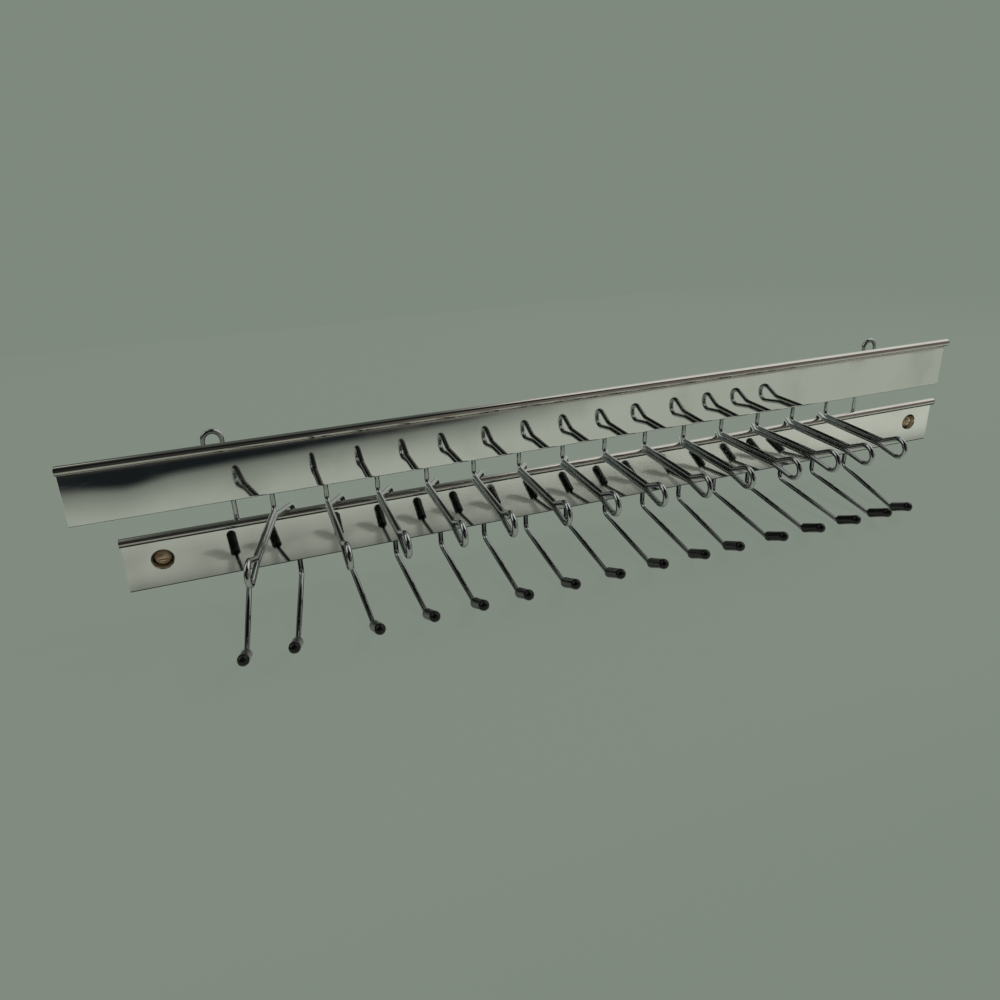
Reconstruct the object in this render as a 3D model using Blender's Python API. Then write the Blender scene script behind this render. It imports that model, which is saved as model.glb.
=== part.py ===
"""Wall tie rack: two chromed rails, bent wire loop hooks and pegs, two hanger wires, caps and screws.

Units are metres. +X runs along the rails to the viewer's right, +Y points into the wall and +Z up.
The wall is the plane Y = 0. The origin lies on it, midway between the two screws of the lower rail.
"""
import math

import bmesh
import bpy
from mathutils import Matrix, Vector

# Rails: one strip section, used twice
RAIL_LENGTH = 0.457
RAIL_HEIGHT = 0.027
SHEET = 0.001
BEAD_RADIUS = 0.002
BEAD_TURN = math.radians(255)
RAIL_GAP = 0.0145
UPPER_RAIL_SHIFT = -0.014

# Wire and the depth of the two tiers
WIRE = 0.0024
WELD_GAP = 0.0003
TIER_OFFSET = 0.014
WIRE_BEND = 0.003
WIRE_RUN_UP = 0.0185

# Hooks and pegs along the rails
HOOK_COUNT = 14
LEFT_MARGIN = 0.050125
RIGHT_MARGIN = 0.061125
HOOK_TO_PEG = 0.0085

# Loop hook, measured outwards from its upright
ROOT_RISE = 0.0019
ARM_SPLIT = 0.0026
NECK_REACH = 0.0435
NECK_BEND = 0.005
RING_REACH = 0.0535
RING_RADIUS = 0.0046
RING_DROP = 0.0004
BELLY_REACH = 0.041
BELLY_BEND = 0.008

# Peg, measured outwards from its upright
PEG_DROP = 0.0082
PEG_REACH = 0.0475
PEG_FALL = 0.006
PEG_BEND = 0.0035
TIP_BEND = 0.004
TIP_ANGLE = math.radians(25)

# Soft cap on each peg
CAP_START = 0.0018
CAP_LENGTH = 0.0148
CAP_RADIUS = 0.0025
CAP_LIP = 0.0005
CAP_BORE_CLEAR = 0.0003
WIRE_IN_CAP = 0.0105

# Wall hangers at the ends
HANGER_OUT = 0.001
EYE_WIDTH = 0.0078
EYE_LEAN_LEFT = 0.0012
EYE_LEAN_RIGHT = 0.003
EYE_TOP = 0.0279
EYE_TAIL = 0.009

# Screw seats pressed back to the wall, and their round-head screws
SCREW_INSET = 0.0155
SEAT_MOUTH_RADIUS = 0.0047
SEAT_FLOOR_RADIUS = 0.0038
SCREW_HOLE_CLEAR = 0.0003
SHANK_RADIUS = 0.0017
SHANK_LENGTH = 0.016
POINT_LENGTH = 0.005
HEAD_RADIUS = 0.0035
HEAD_HEIGHT = 0.0027
HEAD_GAP = 0.0003
SLOT_WIDTH = 0.0009
SLOT_DEPTH = 0.0009
POINT_TIP = 0.0003

# Hooks and pegs bent sideways in use: their numbers from the left, and degrees towards the right
HOOK_LEAN = {1: -14.5, 5: -1.6, 11: 3.0, 12: 2.7, 14: -2.3}
PEG_LEAN = {1: -5.6, 2: -9.5, 3: 1.8, 4: 2.5, 5: 1.7, 11: -2.8, 15: -2.1, 16: -10.7}

# Fineness of round shapes
ARC_STEP = math.radians(24)
BEAD_STEP = math.radians(22)
WIRE_STEPS = 2
CAP_SIDES = 10
SEAT_SIDES = 24
SCREW_SIDES = 16
DOME_STEPS = 4
SMOOTH_ANGLE = math.radians(40)

# Places that follow from the sizes above
WIRE_RADIUS = WIRE / 2
PEG_PLANE = -(WIRE_RADIUS + WELD_GAP)
HOOK_PLANE = PEG_PLANE - TIER_OFFSET
LOWER_FRONT = PEG_PLANE - WIRE_RADIUS - WELD_GAP - SHEET
UPPER_FRONT = HOOK_PLANE - WIRE_RADIUS - WELD_GAP - SHEET
LOWER_BOTTOM = -RAIL_HEIGHT / 2
LOWER_TOP = RAIL_HEIGHT / 2
UPPER_BOTTOM = LOWER_TOP + RAIL_GAP
JOG_HEIGHT = LOWER_TOP + WELD_GAP + WIRE_RADIUS
ROOT_HEIGHT = JOG_HEIGHT + ROOT_RISE
ARM_HEIGHT = ROOT_HEIGHT + ARM_SPLIT
SEAT_DEPTH = -LOWER_FRONT - SHEET
CAP_BORE = WIRE_RADIUS + CAP_BORE_CLEAR
PEG_COUNT = HOOK_COUNT + 2
PITCH = (RAIL_LENGTH - LEFT_MARGIN - RIGHT_MARGIN) / (PEG_COUNT - 1)

CHROME = ("chrome", (0.62, 0.63, 0.60, 1.0), 0.08, 1.0)
BLACK = ("black_vinyl", (0.012, 0.013, 0.012, 1.0), 0.28, 0.0)
BRASS = ("aged_brass", (0.42, 0.29, 0.16, 1.0), 0.30, 1.0)


def clear_scene():
    for obj in list(bpy.data.objects):
        bpy.data.objects.remove(obj, do_unlink=True)


def material(spec):
    """One Principled material for each finish."""
    name, colour, roughness, metallic = spec
    found = bpy.data.materials.get(name)
    if found:
        return found
    made = bpy.data.materials.new(name)
    made.use_nodes = True
    shader = made.node_tree.nodes["Principled BSDF"]
    shader.inputs["Base Color"].default_value = colour
    shader.inputs["Roughness"].default_value = roughness
    shader.inputs["Metallic"].default_value = metallic
    return made


def add_object(name, data, finish, parent):
    obj = bpy.data.objects.new(name, data)
    bpy.context.scene.collection.objects.link(obj)
    obj.data.materials.append(material(finish))
    obj.parent = parent
    return obj


def add_tool(name, mesh):
    """A body that only shapes another one."""
    obj = bpy.data.objects.new(name, mesh)
    bpy.context.scene.collection.objects.link(obj)
    obj.hide_render = True
    obj.display_type = "WIRE"
    return obj


def mesh_from(bm, name, smooth_angle=None):
    bmesh.ops.recalc_face_normals(bm, faces=bm.faces)
    mesh = bpy.data.meshes.new(name)
    bm.to_mesh(mesh)
    bm.free()
    if smooth_angle is not None:
        mesh.shade_smooth()
        mesh.set_sharp_from_angle(angle=smooth_angle)
    return mesh


def lathe(profile, sides, name):
    """Turn a closed outline of (radius, height) points about local Z. A radius of 0 is a pole."""
    bm = bmesh.new()
    rows = []
    for radius, height in profile:
        if radius == 0:
            rows.append([bm.verts.new((0, 0, height))])
            continue
        turns = [2 * math.pi * k / sides for k in range(sides)]
        rows.append([bm.verts.new((radius * math.cos(a), radius * math.sin(a), height)) for a in turns])
    closed = profile[0][0] != 0
    pairs = list(zip(rows, rows[1:]))
    if closed:
        pairs.append((rows[-1], rows[0]))
    for low, high in pairs:
        for k in range(sides):
            n = (k + 1) % sides
            if len(low) == 1:
                bm.faces.new((low[0], high[n], high[k]))
            elif len(high) == 1:
                bm.faces.new((low[k], low[n], high[0]))
            else:
                bm.faces.new((low[k], low[n], high[n], high[k]))
    return mesh_from(bm, name, SMOOTH_ANGLE)


def arc(centre, radius, start, end, step):
    """Points (a, b) along an arc in a plane, both ends included."""
    count = max(2, math.ceil(abs(end - start) / step))
    turns = [start + (end - start) * k / count for k in range(count + 1)]
    return [(centre[0] + radius * math.cos(a), centre[1] + radius * math.sin(a)) for a in turns]


def rail_section():
    """Outline (y, z) of a strip whose top edge rolls forward into a bead. Front face y = 0, bottom z = 0."""
    centre = (SHEET - BEAD_RADIUS, RAIL_HEIGHT - BEAD_RADIUS)
    outer = arc(centre, BEAD_RADIUS, 0, BEAD_TURN, BEAD_STEP)
    inner = arc(centre, BEAD_RADIUS - SHEET, BEAD_TURN, 0, BEAD_STEP)
    return [(SHEET, 0)] + outer + inner + [(0, 0)]


def rail_mesh(name):
    bm = bmesh.new()
    half = RAIL_LENGTH / 2
    left = [bm.verts.new((-half, y, z)) for y, z in rail_section()]
    right = [bm.verts.new((half, y, z)) for y, z in rail_section()]
    count = len(left)
    for k in range(count):
        n = (k + 1) % count
        bm.faces.new((left[k], left[n], right[n], right[k]))
    bm.faces.new(left)
    bm.faces.new(right)
    return mesh_from(bm, name, SMOOTH_ANGLE)


def fillet(before, corner, after, radius):
    """Points of the round bend that replaces a corner of a wire."""
    back = (before - corner).normalized()
    ahead = (after - corner).normalized()
    opening = back.angle(ahead)
    run = radius / math.tan(opening / 2)
    centre = corner + (back + ahead).normalized() * (radius / math.sin(opening / 2))
    start = corner + back * run - centre
    axis = start.cross(corner + ahead * run - centre).normalized()
    sweep = math.pi - opening
    count = max(2, math.ceil(sweep / ARC_STEP))
    return [centre + Matrix.Rotation(sweep * k / count, 3, axis) @ start for k in range(count + 1)]


def bent_path(stations):
    """Wire axis through stations of (point, bend radius). A radius of 0 keeps the point as it is."""
    points = []
    last = len(stations) - 1
    for k, (place, radius) in enumerate(stations):
        if radius == 0 or k in (0, last):
            points.append(place)
        else:
            points.extend(fillet(stations[k - 1][0], place, stations[k + 1][0], radius))
    return points


def wire(name, points, parent):
    """A round wire along the points, with flat ends."""
    curve = bpy.data.curves.new(name, "CURVE")
    curve.dimensions = "3D"
    curve.bevel_depth = WIRE_RADIUS
    curve.bevel_resolution = WIRE_STEPS
    curve.use_fill_caps = True
    spline = curve.splines.new("POLY")
    spline.points.add(len(points) - 1)
    for target, place in zip(spline.points, points):
        target.co = (place.x, place.y, place.z, 1.0)
    spline.use_smooth = True
    return add_object(name, curve, CHROME, parent)


def peg_x(number):
    """X of a peg's upright, numbered from 1 at the left. The hangers at the ends stand out a little."""
    even = -RAIL_LENGTH / 2 + LEFT_MARGIN + (number - 1) * PITCH
    return even + {1: -HANGER_OUT, PEG_COUNT: HANGER_OUT}.get(number, 0)


def outward(x, plane, lean, reach, height):
    """A point on an arm that leaves its upright forwards, leaning sideways by an angle."""
    return Vector((x + reach * math.sin(lean), plane - reach * math.cos(lean), height))


def peg_axis(number):
    """Where a peg's tip bends up, and the direction of the tip."""
    lean = math.radians(PEG_LEAN.get(number, 0))
    corner = outward(peg_x(number), PEG_PLANE, lean, PEG_REACH, LOWER_BOTTOM - PEG_DROP - PEG_FALL)
    flat = math.cos(TIP_ANGLE)
    direction = Vector((flat * math.sin(lean), -flat * math.cos(lean), math.sin(TIP_ANGLE)))
    return corner, direction


def peg_stations(number):
    """The wire from the foot of its upright to its end inside the cap."""
    corner, direction = peg_axis(number)
    foot = Vector((peg_x(number), PEG_PLANE, LOWER_BOTTOM - PEG_DROP))
    end = corner + direction * (CAP_START + WIRE_IN_CAP)
    return [(foot, PEG_BEND), (corner, TIP_BEND), (end, 0)]


def touch_angle(centre, point, side):
    """Where a straight wire from a point meets the ring, as a turn about the ring's centre."""
    away = math.hypot(point[0] - centre[0], point[1] - centre[1])
    towards = math.atan2(point[1] - centre[1], point[0] - centre[0])
    return towards + side * math.acos(RING_RADIUS / away)


def ring_stations(x, lean):
    """The loop's neck, its round end and its belly on the way back, as stations of the wire."""
    centre = (RING_REACH, JOG_HEIGHT - RING_DROP + RING_RADIUS)
    neck = (NECK_REACH, ARM_HEIGHT)
    belly = (BELLY_REACH, ROOT_HEIGHT)
    top = touch_angle(centre, neck, -1) % (2 * math.pi)
    foot = touch_angle(centre, belly, 1)
    stations = [(outward(x, HOOK_PLANE, lean, *neck), NECK_BEND)]
    for reach, height in arc(centre, RING_RADIUS, top, foot, ARC_STEP):
        stations.append((outward(x, HOOK_PLANE, lean, reach, height), 0))
    stations.append((outward(x, HOOK_PLANE, lean, *belly), BELLY_BEND))
    return stations


def loop_hook(number, parent):
    """One wire: upright behind the upper rail, loop hook, jog over the lower rail, and peg."""
    peg = number + 1
    x = peg_x(peg) - HOOK_TO_PEG
    lean = math.radians(HOOK_LEAN.get(number, 0))
    upright_top = Vector((x, HOOK_PLANE, UPPER_BOTTOM + WIRE_RUN_UP))
    arm_root = Vector((x, HOOK_PLANE, ARM_HEIGHT))
    jog_start = Vector((x, HOOK_PLANE, ROOT_HEIGHT))
    jog_end = Vector((peg_x(peg), PEG_PLANE, JOG_HEIGHT))
    stations = [(upright_top, 0), (arm_root, WIRE_BEND)]
    stations += ring_stations(x, lean)
    stations += [(jog_start, WIRE_BEND), (jog_end, WIRE_BEND)]
    stations += peg_stations(peg)
    wire(f"loop_hook_{number:02d}", bent_path(stations), parent)


def hanger(name, peg, side, eye_lean, parent):
    """An end wire: short tail, eye above the upper rail, long upright behind both rails, and peg."""
    radius = EYE_WIDTH / 2
    middle = peg_x(peg) + side * (eye_lean + radius)
    crown = UPPER_BOTTOM + EYE_TOP - WIRE_RADIUS - radius
    tail = Vector((middle + side * radius, PEG_PLANE, crown - EYE_TAIL))
    stations = [(tail, 0)]
    for across, height in arc((0, crown), radius, 0, math.pi, ARC_STEP):
        stations.append((Vector((middle + side * across, PEG_PLANE, height)), 0))
    stations += peg_stations(peg)
    wire(name, bent_path(stations), parent)


def cap_mesh():
    """A soft cap with a blind bore. Its open end is at z = 0 and its round end at z = CAP_LENGTH."""
    shoulder = CAP_LENGTH - CAP_RADIUS
    dome = arc((0, shoulder), CAP_RADIUS, 0, math.pi / 2, math.pi / 2 / DOME_STEPS)[:-1]
    bore_end = WIRE_IN_CAP + CAP_BORE_CLEAR
    outline = [(0, bore_end), (CAP_BORE, bore_end), (CAP_BORE, 0), (CAP_RADIUS - CAP_LIP, 0)]
    outline += [(CAP_RADIUS, CAP_LIP)] + dome + [(0, CAP_LENGTH)]
    return lathe(outline, CAP_SIDES, "peg_cap")


def peg_caps(parent):
    mesh = cap_mesh()
    for number in range(1, PEG_COUNT + 1):
        corner, direction = peg_axis(number)
        obj = add_object(f"peg_cap_{number:02d}", mesh.copy(), BLACK, parent)
        obj.location = corner + direction * CAP_START
        obj.rotation_mode = "QUATERNION"
        obj.rotation_quaternion = direction.to_track_quat("Z", "Y")


def screw_places():
    reach = RAIL_LENGTH / 2 - SCREW_INSET
    return {"left": -reach, "right": reach}


def boss_mesh():
    """The back of a pressed screw seat, about Z: it starts inside the sheet and ends flat on the wall."""
    floor = SHEET + SEAT_DEPTH
    start = SHEET / 2
    outline = [(0, start), (SEAT_MOUTH_RADIUS + SHEET, start), (SEAT_FLOOR_RADIUS + SHEET, floor), (0, floor)]
    return lathe(outline, SEAT_SIDES, "seat_boss")


def dish_mesh():
    """The hollow of a screw seat, about Z, with the screw's hole through its floor."""
    floor = SEAT_DEPTH
    hole = SHANK_RADIUS + SCREW_HOLE_CLEAR
    slope = (SEAT_MOUTH_RADIUS - SEAT_FLOOR_RADIUS) / floor
    outline = [(0, -SHEET), (SEAT_MOUTH_RADIUS + slope * SHEET, -SHEET), (SEAT_FLOOR_RADIUS, floor)]
    outline += [(hole, floor), (hole, floor + 2 * SHEET), (0, floor + 2 * SHEET)]
    return lathe(outline, SEAT_SIDES, "seat_dish")


def shape_with(target, tool, operation, solver="EXACT"):
    step = target.modifiers.new(f"{operation.lower()} {tool.name}", "BOOLEAN")
    step.operation = operation
    step.solver = solver
    step.object = tool


def rails(parent):
    """Both rails. The lower one gets a pressed seat for each screw; the manifold solver keeps it closed."""
    upper = add_object("upper_rail", rail_mesh("upper_rail"), CHROME, parent)
    upper.location = (UPPER_RAIL_SHIFT, UPPER_FRONT, UPPER_BOTTOM)
    lower = add_object("lower_rail", rail_mesh("lower_rail"), CHROME, parent)
    lower.location = (0, LOWER_FRONT, LOWER_BOTTOM)
    for kind, shape, operation in (("boss", boss_mesh, "UNION"), ("dish", dish_mesh, "DIFFERENCE")):
        for side, x in screw_places().items():
            tool = add_tool(f"{kind}_{side}", shape())
            tool.location = (x, LOWER_FRONT, 0)
            tool.rotation_euler = (-math.pi / 2, 0, 0)
            shape_with(lower, tool, operation, "MANIFOLD")


def screw_mesh():
    """A round-head wood screw about Z: head underside at z = 0, head towards -Z, point towards +Z."""
    dome = []
    for step in range(1, DOME_STEPS + 1):
        turn = math.pi / 2 * step / DOME_STEPS
        dome.append((HEAD_RADIUS * math.sin(turn), -HEAD_HEIGHT * math.cos(turn)))
    outline = [(0, -HEAD_HEIGHT)] + dome
    outline += [(SHANK_RADIUS, 0), (SHANK_RADIUS, SHANK_LENGTH - POINT_LENGTH)]
    outline += [(POINT_TIP, SHANK_LENGTH), (0, SHANK_LENGTH)]
    return lathe(outline, SCREW_SIDES, "screw")


def slot_mesh():
    bm = bmesh.new()
    size = (4 * HEAD_RADIUS, SLOT_WIDTH, 2 * SLOT_DEPTH)
    bmesh.ops.create_cube(bm, size=1, matrix=Matrix.Diagonal((*size, 1)))
    return mesh_from(bm, "slot")


def screws(parent):
    underside = LOWER_FRONT + SEAT_DEPTH - HEAD_GAP
    for side, x in screw_places().items():
        screw = add_object(f"screw_{side}", screw_mesh(), BRASS, parent)
        screw.location = (x, underside, 0)
        screw.rotation_euler = (-math.pi / 2, 0, 0)
        slot = add_tool(f"slot_{side}", slot_mesh())
        slot.location = (x, underside - HEAD_HEIGHT, 0)
        slot.rotation_euler = (-math.pi / 2, 0, 0)
        shape_with(screw, slot, "DIFFERENCE")


def main():
    clear_scene()
    rack = bpy.data.objects.new("tie_rack", None)
    bpy.context.scene.collection.objects.link(rack)
    rails(rack)
    for number in range(1, HOOK_COUNT + 1):
        loop_hook(number, rack)
    hanger("hanger_left", 1, -1, EYE_LEAN_LEFT, rack)
    hanger("hanger_right", PEG_COUNT, 1, EYE_LEAN_RIGHT, rack)
    peg_caps(rack)
    screws(rack)


main()
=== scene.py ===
"""Dresses a wall tie rack: rolled rails, loop hooks, hangers, caps, screws and welds, with a photo stage."""
import math
from functools import partial

import bmesh
import bpy
from bpy.props import FloatProperty, FloatVectorProperty, IntProperty, PointerProperty
from mathutils import Matrix, Vector


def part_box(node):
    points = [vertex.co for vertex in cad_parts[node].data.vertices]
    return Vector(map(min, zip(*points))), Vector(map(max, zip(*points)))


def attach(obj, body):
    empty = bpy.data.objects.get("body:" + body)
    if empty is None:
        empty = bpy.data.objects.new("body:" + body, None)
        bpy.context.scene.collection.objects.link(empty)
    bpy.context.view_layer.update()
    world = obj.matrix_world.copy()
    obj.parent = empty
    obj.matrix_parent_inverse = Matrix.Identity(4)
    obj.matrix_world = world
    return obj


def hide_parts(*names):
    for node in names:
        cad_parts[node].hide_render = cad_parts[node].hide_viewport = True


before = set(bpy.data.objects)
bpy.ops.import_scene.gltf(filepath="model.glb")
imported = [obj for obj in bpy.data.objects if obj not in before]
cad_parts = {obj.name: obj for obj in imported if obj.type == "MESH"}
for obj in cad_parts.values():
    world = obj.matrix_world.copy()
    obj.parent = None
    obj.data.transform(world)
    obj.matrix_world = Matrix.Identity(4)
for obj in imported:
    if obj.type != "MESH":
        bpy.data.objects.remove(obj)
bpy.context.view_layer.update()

bl_info = {
    "name": "Wall Tie Rack",
    "version": (1, 0, 0),
    "blender": (4, 5, 0),
    "location": "View3D > Sidebar > Tie Rack",
    "description": "Builds the fine pieces of a wall tie rack on its solids and sets up a photo stage",
    "category": "Object",
}

BODY = "root"
UPPER_LOW, UPPER_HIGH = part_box("upper_rail")
LOWER_LOW, LOWER_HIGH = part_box("lower_rail")
LOWER_MIDDLE = (LOWER_LOW.z + LOWER_HIGH.z) / 2
HOOK_COUNT = sum(name.startswith("loop_hook_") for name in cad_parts)
PEG_COUNT = sum(name.startswith("peg_cap_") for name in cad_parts)
SIDES = {"left": -1, "right": 1}

# How far a hook or a peg is bent sideways, in degrees; the others stand straight out.
HOOK_LEAN = {1: -14.5, 5: -1.6, 11: 3.0, 12: 2.7, 14: -2.3}
PEG_LEAN = {1: -5.6, 2: -9.5, 3: 1.8, 4: 2.5, 5: 1.7, 11: -2.8, 15: -2.1, 16: -10.7}

# Pale windows of the room that the metal shows: direction, cosines where they start and are full, brightness.
WINDOWS = (
    ((0.70, 0.08, 0.71), 0.85, 0.92, 0.9),
    ((0.68, 0.62, 0.38), 0.82, 0.92, 0.45),
    ((0.97, -0.15, 0.15), 0.95, 0.98, 0.7),
    ((-0.80, 0.14, 0.57), 0.90, 0.97, 0.85),
    ((-0.36, 0.30, 0.88), 0.955, 0.985, 0.8),
)

# Grain of the plating: lines in a metre along X, Y and Z, their height in metres, and the share of pits.
RAIL_GRAIN = ((26.0, 1500.0, 1500.0), 0.0000005, 1.0)
WIRE_GRAIN = ((420.0, 420.0, 420.0), 0.0000001, 0.2)

# Fineness of round shapes, and the angles from which an edge shows sharp or is softened.
FINE_STEP = math.radians(6)
NOSE_TURNS = [math.radians(turn) for turn in (18, 36, 54, 72, 90)]
SEAT_SIDES = 64
CAP_STEPS = 14
DOME_STEPS = 16
THREAD_STEPS = 150
SHARP_ANGLE = math.radians(11)
CAP_ANGLE = math.radians(40)
SCREW_ANGLE = math.radians(35)
WELD_ANGLE = math.radians(60)
END_ANGLE = math.radians(60)

# How far a piece may leave its solid, and the strip beside a round that keeps a face flat, in metres.
FIT_EASE = 0.0006
SUPPORT = 0.00006


def real(name, description, default, **limits):
    """A number that a user can change."""
    return FloatProperty(name=name, description=description, default=default, **limits)


def triple(name, description, default, **limits):
    """Three numbers that belong together."""
    return FloatVectorProperty(name=name, description=description, default=default, size=3, **limits)


def angle(name, description, degrees):
    """An angle that a user can change."""
    return real(name, description, math.radians(degrees), unit="ROTATION")


size = partial(real, min=0, precision=5, unit="LENGTH")
share = partial(real, min=0, max=1, subtype="FACTOR")
colour = partial(triple, min=0, max=1, subtype="COLOR")
place = partial(triple, precision=4, subtype="TRANSLATION")


class RailSizes(bpy.types.PropertyGroup):
    """Sizes of the two rolled rails and of the pressed screw seats."""

    sheet: size("Sheet", "Thickness of the strip", 0.001)
    bead_radius: size("Bead Radius", "Outer radius of the rolled top edge", 0.002)
    bead_turn: angle("Bead Turn", "How far the top edge is rolled round", 255)
    edge_round: size("Edge Round", "Rounding of the lower edge in front", 0.00075)
    edge_break: size("Edge Break", "Rounding of the lower edge behind", 0.0002)
    end_round: size("End Round", "Rounding of the cut ends", 0.00012)
    seat_mouth: size("Seat Mouth", "Radius of a screw seat at the rail's face", 0.0047)
    seat_floor: size("Seat Floor", "Radius of a screw seat's floor", 0.0038)
    seat_hole: size("Seat Hole", "Radius of the hole in a seat's floor", 0.002)
    mouth_round: size("Mouth Round", "Rounding where a seat is pressed in", 0.0006)
    floor_round: size("Floor Round", "Rounding round a seat's floor", 0.0006)
    screw_inset: size("Screw Inset", "From a rail's end to its screw", 0.0155)


class WireSizes(bpy.types.PropertyGroup):
    """Sizes of the bent wires: hooks, hangers and pegs."""

    diameter: size("Wire", "Diameter of the wire", 0.0024)
    weld_gap: size("Weld Gap", "Room for the weld between a rail and a wire", 0.0003)
    left_margin: size("Left Margin", "From the lower rail's left end to the first peg", 0.050125)
    right_margin: size("Right Margin", "From the last peg to the lower rail's right end", 0.061125)
    hanger_out: size("Hanger Out", "How far a hanger stands beyond the even pitch", 0.001)
    hook_to_peg: size("Hook to Peg", "Sideways step from a hook to its peg", 0.0085)
    bend: size("Bend", "Radius of the bends at the rails", 0.003)
    run_up: size("Run Up", "How far a wire climbs behind the upper rail", 0.0185)
    root_rise: size("Root Rise", "Height of the lower arm over the step wire", 0.0019)
    arm_split: size("Arm Split", "Distance between a hook's two level arms", 0.0026)
    neck_reach: size("Neck Reach", "Reach of the upper arm's bend up to the ring", 0.0435)
    neck_bend: size("Neck Bend", "Radius of that bend", 0.005)
    ring_reach: size("Ring Reach", "Reach of the ring's middle", 0.0535)
    ring_radius: size("Ring Radius", "Radius of the ring at the wire's middle", 0.0046)
    ring_drop: size("Ring Drop", "How far the ring's foot lies below the step wire", 0.0004)
    belly_reach: size("Belly Reach", "Reach of the lower arm's bend down to the ring", 0.041)
    belly_bend: size("Belly Bend", "Radius of that bend", 0.008)
    peg_drop: size("Peg Drop", "How far a wire runs below the lower rail", 0.0082)
    peg_reach: size("Peg Reach", "Reach of a peg to its upturned tip", 0.0475)
    peg_fall: size("Peg Fall", "How far a peg falls on its way out", 0.006)
    peg_bend: size("Peg Bend", "Bend radius at a peg's foot", 0.0035)
    tip_bend: size("Tip Bend", "Bend radius at a peg's tip", 0.004)
    tip_angle: angle("Tip Angle", "How steeply a peg's tip turns up", 25)
    cap_start: size("Cap Start", "From a tip's bend to its cap", 0.0018)
    in_cap: size("Wire in Cap", "How far a wire goes into its cap", 0.0105)
    eye_width: size("Eye Width", "Width of a hanger's eye at the wire's middle", 0.0078)
    lean_left: size("Left Lean", "How far the left hanger leans out at its eye", 0.0012)
    lean_right: size("Right Lean", "How far the right hanger leans out at its eye", 0.003)
    eye_top: size("Eye Top", "Top of an eye over the upper rail's lower edge", 0.0279)
    eye_tail: size("Eye Tail", "Length of an eye's free end", 0.009)
    bevel_steps: IntProperty(name="Wire Steps", description="Fineness of the wire's round", default=6, min=1)


class CapSizes(bpy.types.PropertyGroup):
    """Sizes of the soft caps."""

    length: size("Length", "Length of a cap", 0.0148)
    radius: size("Radius", "Outer radius of a cap", 0.0025)
    bore: size("Bore", "Radius of a cap's bore", 0.0015)
    lip: size("Lip", "Rounding of the open end", 0.0005)
    waist: size("Waist", "How much a cap shrinks onto its wire", 0.00006)
    sides: IntProperty(name="Sides", description="Facets round a cap", default=40, min=8)


class ScrewSizes(bpy.types.PropertyGroup):
    """Sizes of the round-head wood screws."""

    head_radius: size("Head Radius", "Radius of the round head", 0.0035)
    head_height: size("Head Height", "Height of the round head", 0.0027)
    head_gap: size("Head Gap", "Room between the head and its seat", 0.0003)
    shank_radius: size("Shank Radius", "Radius over the thread", 0.0017)
    shank_length: size("Shank Length", "Length from the head to the tip", 0.016)
    point_length: size("Point Length", "Length of the tapered point", 0.005)
    point_tip: size("Point Tip", "Radius of the point's end", 0.0003)
    plain_length: size("Plain Length", "Length of the smooth neck", 0.0052)
    thread_pitch: size("Thread Pitch", "Distance between two turns of the thread", 0.0016)
    thread_depth: size("Thread Depth", "Depth of the thread", 0.00042)
    slot_width: size("Slot Width", "Width of the driver slot", 0.0009)
    slot_depth: size("Slot Depth", "Depth of the driver slot", 0.0009)
    slot_break: size("Slot Break", "Rounding of the slot's edges", 0.00006)
    sides: IntProperty(name="Sides", description="Facets round a screw", default=48, min=12)


class WeldSizes(bpy.types.PropertyGroup):
    """Sizes of the spot welds behind the rails."""

    width: size("Width", "Half of a weld's width", 0.0013)
    height: size("Height", "Half of a weld's height", 0.0016)
    depth: size("Depth", "Half of a weld's depth", 0.0005)
    spread: size("Spread", "From the middle of a pair of welds to each of them", 0.0055)


class ChromeFinish(bpy.types.PropertyGroup):
    """Bright plating that has been handled for years, duller on the wires."""

    rail_tint: colour("Rail Tint", "Colour of the plating on the rails", (0.66, 0.66, 0.635))
    wire_tint: colour("Wire Tint", "Colour of the duller plating on the wires", (0.36, 0.38, 0.37))
    # The tarnish colour below is also the colour of the painted shade on the beads.
    tarnish: colour("Tarnish", "Colour of tired plating and pits", (0.20, 0.17, 0.13))
    # Painted shade: how far the beads are tinted towards the tarnish colour, which dims their reflections.
    bead_wear: share("Bead Wear", "How brown the plating is on the rolled edges", 0.45)
    roughness: share("Roughness", "Roughness of clean plating", 0.018)
    haze: share("Haze", "Roughness that handling adds", 0.045)


class VinylFinish(bpy.types.PropertyGroup):
    """Dipped black vinyl."""

    tint: colour("Tint", "Colour of the vinyl", (0.003, 0.004, 0.003))
    bloom: colour("Bloom", "Colour of the dull film on old vinyl", (0.010, 0.012, 0.010))
    roughness: share("Roughness", "Roughness of clean vinyl", 0.14)


class BrassFinish(bpy.types.PropertyGroup):
    """Old brass, rubbed bright on top, where a highlight is painted as well."""

    # This bright colour is also the painted highlight on the crown of each head.
    bright: colour("Bright", "Colour of rubbed brass", (0.97, 0.78, 0.55))
    patina: colour("Patina", "Colour of brown brass", (0.62, 0.45, 0.28))
    roughness: share("Roughness", "Roughness of rubbed brass", 0.32)


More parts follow.
